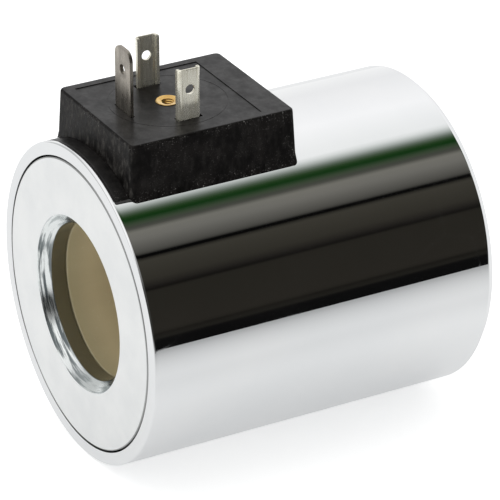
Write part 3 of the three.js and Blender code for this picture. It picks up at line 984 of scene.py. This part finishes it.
def metal_strip_finish(name, tints, rough_low, rough_high, metallic):
    """Plated strip with rolling lines along its length and marks from handling. The faces turned towards
    the insert are darkened with painted shade, as the inside of a channel is."""
    material, tree, shader, place = new_finish(name, Metallic=metallic)
    lines = effect(tree, "drawn_lines", Vector=place, Stretch=(1.0, 1.0, 0.06), Scale=2600.0)
    marks = effect(tree, "handling_marks", Vector=place, Scale=420.0, Amount=0.7)
    wear_and_shade = math_node(tree, "MAXIMUM", map_range(tree, marks["Smudge"], 0.1, 0.6),
                     map_range(tree, lines["Lines"], 0.5, 0.35))
    facing = coordinates(tree, add_node(tree, "TexCoord").outputs["Normal"])
    outward = times(tree, facing["X"], coordinates(tree, place)["X"])
    # Painted shade on the faces turned towards the insert.
    inside = map_range(tree, outward, 0.0, -6.0 * MM, 0.0, 0.3)
    tint = mix_colour(tree, inside, mix_colour(tree, wear_and_shade, *tints), INWARD_PAINTED_SHADE)
    base = spread(tree, lines["Lines"], rough_low, rough_high)
    rough = math_node(tree, "ADD", base, times(tree, marks["Smudge"], 0.12))
    feed(tree, shader, Base_Color=tint, Roughness=rough)
    relief = math_node(tree, "SUBTRACT", lines["Lines"], marks["Scratch"])
    bump(tree, shader, relief, 0.25, 0.012 * MM)
    return material


def brass_finish():
    material, tree, shader, place = new_finish("turned_brass", Metallic=1.0)
    lines = effect(tree, "drawn_lines", Vector=place, Stretch=(0.1, 0.1, 1.0), Scale=3000.0)
    marks = effect(tree, "handling_marks", Vector=place, Scale=500.0, Amount=0.6)
    tint = mix_colour(tree, marks["Smudge"], *BRASS)
    feed(tree, shader, Base_Color=tint, Roughness=spread(tree, lines["Lines"], 0.1, 0.22))
    bump(tree, shader, lines["Lines"], 0.2, 0.01 * MM)
    return material


def enamelled_wire_finish():
    """Copper under clear enamel, with the turns of the winding side by side along the bore, and painted
    shade between the turns.
    """
    material, tree, shader, place = new_finish("enamelled_wire", Metallic=1.0, Coat_Roughness=0.12)
    wave = {"Vector": place, "Scale": 160.0, "Distortion": 0.3, "Detail": 1.0}
    turns = add_node(tree, "TexWave", wave, bands_direction="Y", wave_profile="SIN").outputs["Fac"]
    cloud = effect(tree, "plating_cloud", Vector=place, Scale=200.0)
    tint = mix_colour(tree, spread(tree, cloud["Cloud"]), *COPPER)
    # Painted shade darkens the grooves between the turns.
    wear_and_shade = mix_colour(tree, map_range(tree, turns, 0.0, 0.4), SHADE_BETWEEN_TURNS, tint)
    feed(tree, shader, Base_Color=wear_and_shade, Roughness=spread(tree, cloud["Grain"], 0.22, 0.34))
    bump(tree, shader, turns, 0.6, 0.2 * MM)
    return material


def film_finish():
    """Amber insulating film with the overlap of its turns."""
    material, tree, shader, place = new_finish("insulating_film", Coat_Weight=0.4)
    wave = {"Vector": place, "Scale": 22.0, "Distortion": 0.4}
    laps = add_node(tree, "TexWave", wave, bands_direction="Y", wave_profile="SAW").outputs["Fac"]
    grain = effect(tree, "plating_cloud", Vector=place, Scale=150.0)
    tint = mix_colour(tree, laps, *AMBER_FILM)
    feed(tree, shader, Base_Color=tint, Roughness=spread(tree, grain["Cloud"], 0.25, 0.4))
    bump(tree, shader, laps, 0.3, 0.05 * MM)
    return material


def carrier_finish():
    material, tree, shader, place = new_finish("dark_carrier_nylon")
    grain = effect(tree, "moulded_grain", Vector=place, Scale=900.0, Specks=0.5)
    tint = mix_colour(tree, grain["Cloud"], *CARRIER_NYLON)
    feed(tree, shader, Base_Color=tint, Roughness=spread(tree, grain["Cloud"], 0.5, 0.65))
    bump(tree, shader, grain["Height"], 0.3, 0.03 * MM)
    return material


def sleeving_finish():
    """Varnished glass braid: two sets of threads that cross."""
    material, tree, shader, place = new_finish("glass_braid", Coat_Weight=0.2)
    threads = []
    for turn in (math.radians(45), math.radians(-45)):
        turned = add_node(tree, "Mapping", {"Vector": place, "Rotation": (turn, 0.0, turn)})
        wave = {"Vector": turned.outputs["Vector"], "Scale": 900.0}
        threads.append(add_node(tree, "TexWave", wave, bands_direction="Z").outputs["Fac"])
    weave = math_node(tree, "MAXIMUM", *threads)
    tint = mix_colour(tree, weave, *GLASS_BRAID)
    feed(tree, shader, Base_Color=tint, Roughness=map_range(tree, weave, 0.0, 1.0, 0.75, 0.5))
    bump(tree, shader, weave, 0.5, 0.05 * MM)
    return material


tinned_strip = metal_strip_finish("tinned_brass_strip", TIN, rough_low=0.14, rough_high=0.26,
                                  metallic=0.74)
nickel_strip = metal_strip_finish("dull_nickel_strip", NICKEL, rough_low=0.18, rough_high=0.3,
                                  metallic=0.95)
wire = enamelled_wire_finish()
film = film_finish()
sleeving = sleeving_finish()

# ---------------------------------------------------------------- the coil's pieces

zinc = zinc_finish()
front_plate = make_front_plate()
finish_piece(make_can(), "housing_can", chrome_finish())
rear_plate = turned_copy(front_plate, "rear_plate", can_length / 2)
finish_piece(rear_plate, "rear_end_plate", zinc)
finish_piece(front_plate, "front_end_plate", zinc)
finish_piece(make_bobbin(), "bobbin", spool_finish())
finish_piece(make_moulding(), "overmould", black_moulding_finish())

first_pin = make_line_pin()
second_pin = turned_copy(first_pin, "line_pin_2", pattern_y)
finish_piece(second_pin, "line_terminal_2", tinned_strip)
finish_piece(first_pin, "line_terminal_1", tinned_strip)
finish_piece(make_earth_pin(), "earth_terminal", nickel_strip)
finish_piece(make_insert(), "threaded_insert", brass_finish())

inner_finishes = {
    "copper_winding": wire,
    "start_lead": wire,
    "finish_lead": wire,
    "winding_tape": film,
    "start_lead_pad": film,
    "terminal_carrier": carrier_finish(),
    "start_lead_sleeve": sleeving,
    "finish_lead_sleeve": sleeving,
    "start_lead_ferrule": tinned_strip,
    "finish_lead_ferrule": tinned_strip,
    "earth_strap": tinned_strip,
}
for node, material in inner_finishes.items():
    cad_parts[node].data.materials.clear()
    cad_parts[node].data.materials.append(material)

# ---------------------------------------------------------------- studio

FLOOR_NEAR_EDGE = 177 * MM  # on the dark side of the room
FLOOR_REACH = 600 * MM
# Painted shade on the paper, seen only by what shines: it deepens over the first span below, and beside
# the coil it is set by the second.
FLOOR_FADING = 79 * MM, 163 * MM  # where the paper starts to darken and where it is darkest
FLOOR_BESIDE_COIL = 45 * MM, 70 * MM
PAPER = colour(0.89, 0.89, 0.89), colour(0.91, 0.91, 0.91)
PAPER_GLOW = colour(0.38, 0.385, 0.39)
PAPER_GLOW_SEEN = colour(0.42, 0.42, 0.42)
# Colour of the floor's painted shade.
PAINTED_FLOOR_SHADE = colour(0.0, 0.0, 0.0)
ROOM_LIGHT = colour(0.95, 0.955, 0.955)
BACKDROP = colour(1.0, 1.0, 1.0)

KEY_PLACE = (-0.05, -0.15, 0.7)
KEY_SIZE = 0.8
KEY_POWER = 1.0

CAMERA_AZIMUTH = math.radians(61.11)
CAMERA_ELEVATION = math.radians(27.12)
CAMERA_DISTANCE = 744.5 * MM
CAMERA_SENSOR = 36  # mm
CAMERA_LENS = 268.8  # mm
CAMERA_AIM = Vector((-0.7, 38.8, 2.0)) * MM

# The room as the chrome mirrors it: degrees from straight up towards the dark side, and the
# colour there. Between two entries the colour runs evenly.
REAR_BANDS = (
    (-180, (0.93, 0.935, 0.935)),
    (-100, (0.95, 0.955, 0.955)),
    (-70, (0.87, 0.87, 0.88)),
    (-30, (0.98, 0.98, 0.99)),
    (-4, (0.86, 0.87, 0.87)),
    (-1, (0.72, 0.74, 0.73)),
    (2, (0.42, 0.45, 0.43)),
    (5, (0.14, 0.17, 0.14)),
    (7.5, (0.036, 0.066, 0.031)),
    (9.2, (0.012, 0.040, 0.010)),
    (11.3, (0.006, 0.031, 0.006)),
    (13, (0.022, 0.048, 0.020)),
    (15, (0.045, 0.062, 0.038)),
    (16.8, (0.055, 0.060, 0.048)),
    (17.6, (0.038, 0.040, 0.034)),
    (18.6, (0.085, 0.085, 0.072)),
    (20.8, (0.17, 0.165, 0.145)),
    (26, (0.155, 0.15, 0.135)),
    (36.2, (0.066, 0.064, 0.057)),
    (38, (0.002, 0.002, 0.002)),
    (39.4, (0.002, 0.002, 0.002)),
    (41.8, (0.043, 0.040, 0.032)),
    (55, (0.030, 0.0275, 0.022)),
    (60, (0.014, 0.0125, 0.011)),
    (61.6, (0.005, 0.0045, 0.004)),
    (63.4, (0.019, 0.0175, 0.014)),
    (91, (0.021, 0.019, 0.0155)),
    (93.2, (0.0085, 0.008, 0.0065)),
    (95.2, (0.017, 0.016, 0.013)),
    (97.2, (0.004, 0.004, 0.004)),
    (150, (0.004, 0.004, 0.004)),
    (170, (0.9, 0.9, 0.9)),
)
FRONT_BANDS = (
    (-180, (0.9, 0.9, 0.9)),
    (-95, (0.9, 0.9, 0.9)),
    (-88, (0.55, 0.56, 0.56)),
    (-60, (0.50, 0.51, 0.51)),
    (-50, (0.75, 0.75, 0.76)),
    (-20, (0.98, 0.98, 0.98)),
    (25, (0.98, 0.98, 0.98)),
    (40, (0.35, 0.35, 0.35)),
    (60, (0.06, 0.06, 0.058)),
    (95, (0.03, 0.03, 0.028)),
    (130, (0.9, 0.9, 0.9)),
)


def floor_finish():
    """White paper with a little glow of its own. What shines sees it darkened by painted shade, the more
    so towards its edge on the dark side of the room."""
    material, tree, shader, place = new_finish("pale_floor", Roughness=0.8, Emission_Strength=1.0)
    cloud = effect(tree, "plating_cloud", Vector=place, Scale=12.0)
    paper = mix_colour(tree, cloud["Cloud"], *PAPER)
    path = add_node(tree, "LightPath")
    across = coordinates(tree, place)["X"]
    # Painted shade, seen only by what shines: about half beside the coil, and deepest towards the edge
    # on the dark side.
    fading = math_node(tree, "POWER", map_linear(tree, across, *FLOOR_FADING), 1.15)
    near_coil = map_range(tree, across, *FLOOR_BESIDE_COIL, 0.51, 0.6)
    painted_shade = add_node(tree, "Mix", {"Factor": fading, "A": near_coil, "B": 1.0}).outputs["Result"]
    reflected_shade = times(tree, painted_shade, path.outputs["Is Glossy Ray"])
    tint = mix_colour(tree, reflected_shade, paper, PAINTED_FLOOR_SHADE)
    glow = mix_colour(tree, path.outputs["Is Camera Ray"], PAPER_GLOW, PAPER_GLOW_SEEN)
    feed(tree, shader, Base_Color=tint, Emission_Color=glow)
    return material


def make_floor():
    deselect()
    bpy.ops.mesh.primitive_plane_add(size=1)
    floor = new_piece("floor")
    edit(floor)
    bpy.ops.mesh.select_all(action="SELECT")
    bpy.ops.transform.resize(value=(FLOOR_NEAR_EDGE + FLOOR_REACH, 2 * FLOOR_REACH, 1))
    bpy.ops.transform.translate(
        value=((FLOOR_NEAR_EDGE - FLOOR_REACH) / 2, can_length / 2, cad_box[0].z))
    leave_edit()
    floor.data.materials.append(floor_finish())


def make_room():
    """White all round to the camera. What shines also sees the room's dark side, in bands."""
    world = bpy.data.worlds.new("studio")
    bpy.context.scene.world = world
    world.use_nodes = True
    tree = world.node_tree
    tree.nodes.clear()
    way = coordinates(tree, add_node(tree, "TexCoord").outputs["Generated"])
    angle = math_node(tree, "ARCTAN2", way["X"], way["Z"])
    share = map_linear(tree, angle, -math.pi, math.pi)
    rear_room = ramp(tree, share, REAR_BANDS)
    front_room = ramp(tree, share, FRONT_BANDS)
    behind = map_range(tree, way["Y"], -0.25, 0.25)
    bands = mix_colour(tree, behind, front_room, rear_room)
    path = add_node(tree, "LightPath")
    seen = mix_colour(tree, path.outputs["Is Glossy Ray"], ROOM_LIGHT, bands)
    shown = mix_colour(tree, path.outputs["Is Camera Ray"], seen, BACKDROP)
    background = add_node(tree, "Background", {"Color": shown, "Strength": 1.0})
    output = add_node(tree, "OutputWorld")
    tree.links.new(background.outputs["Background"], output.inputs["Surface"])


def make_key_light():
    """A large square lamp above and before the coil, which what shines doesn't see."""
    light = bpy.data.lights.new("key_softbox", "AREA")
    light.shape = "SQUARE"
    light.size = KEY_SIZE
    light.energy = KEY_POWER
    lamp = bpy.data.objects.new("key_softbox", light)
    bpy.context.scene.collection.objects.link(lamp)
    lamp.location = KEY_PLACE
    lamp.rotation_mode = "QUATERNION"
    coil_middle = Vector((0, can_length / 2, 0))
    lamp.rotation_quaternion = (coil_middle - Vector(KEY_PLACE)).to_track_quat("-Z", "Y")
    lamp.visible_glossy = False


def make_camera():
    data = bpy.data.cameras.new("camera")
    data.lens = CAMERA_LENS
    data.sensor_width = CAMERA_SENSOR
    data.clip_start = 0.01
    camera = bpy.data.objects.new("camera", data)
    bpy.context.scene.collection.objects.link(camera)
    back = Vector((
        math.sin(CAMERA_AZIMUTH) * math.cos(CAMERA_ELEVATION),
        -math.cos(CAMERA_AZIMUTH) * math.cos(CAMERA_ELEVATION),
        math.sin(CAMERA_ELEVATION),
    ))
    camera.location = CAMERA_AIM + back * CAMERA_DISTANCE
    camera.rotation_mode = "QUATERNION"
    camera.rotation_quaternion = (-back).to_track_quat("-Z", "Y")
    bpy.context.scene.camera = camera


make_floor()
make_room()
make_key_light()
make_camera()
bpy.context.scene.view_settings.view_transform = "Standard"
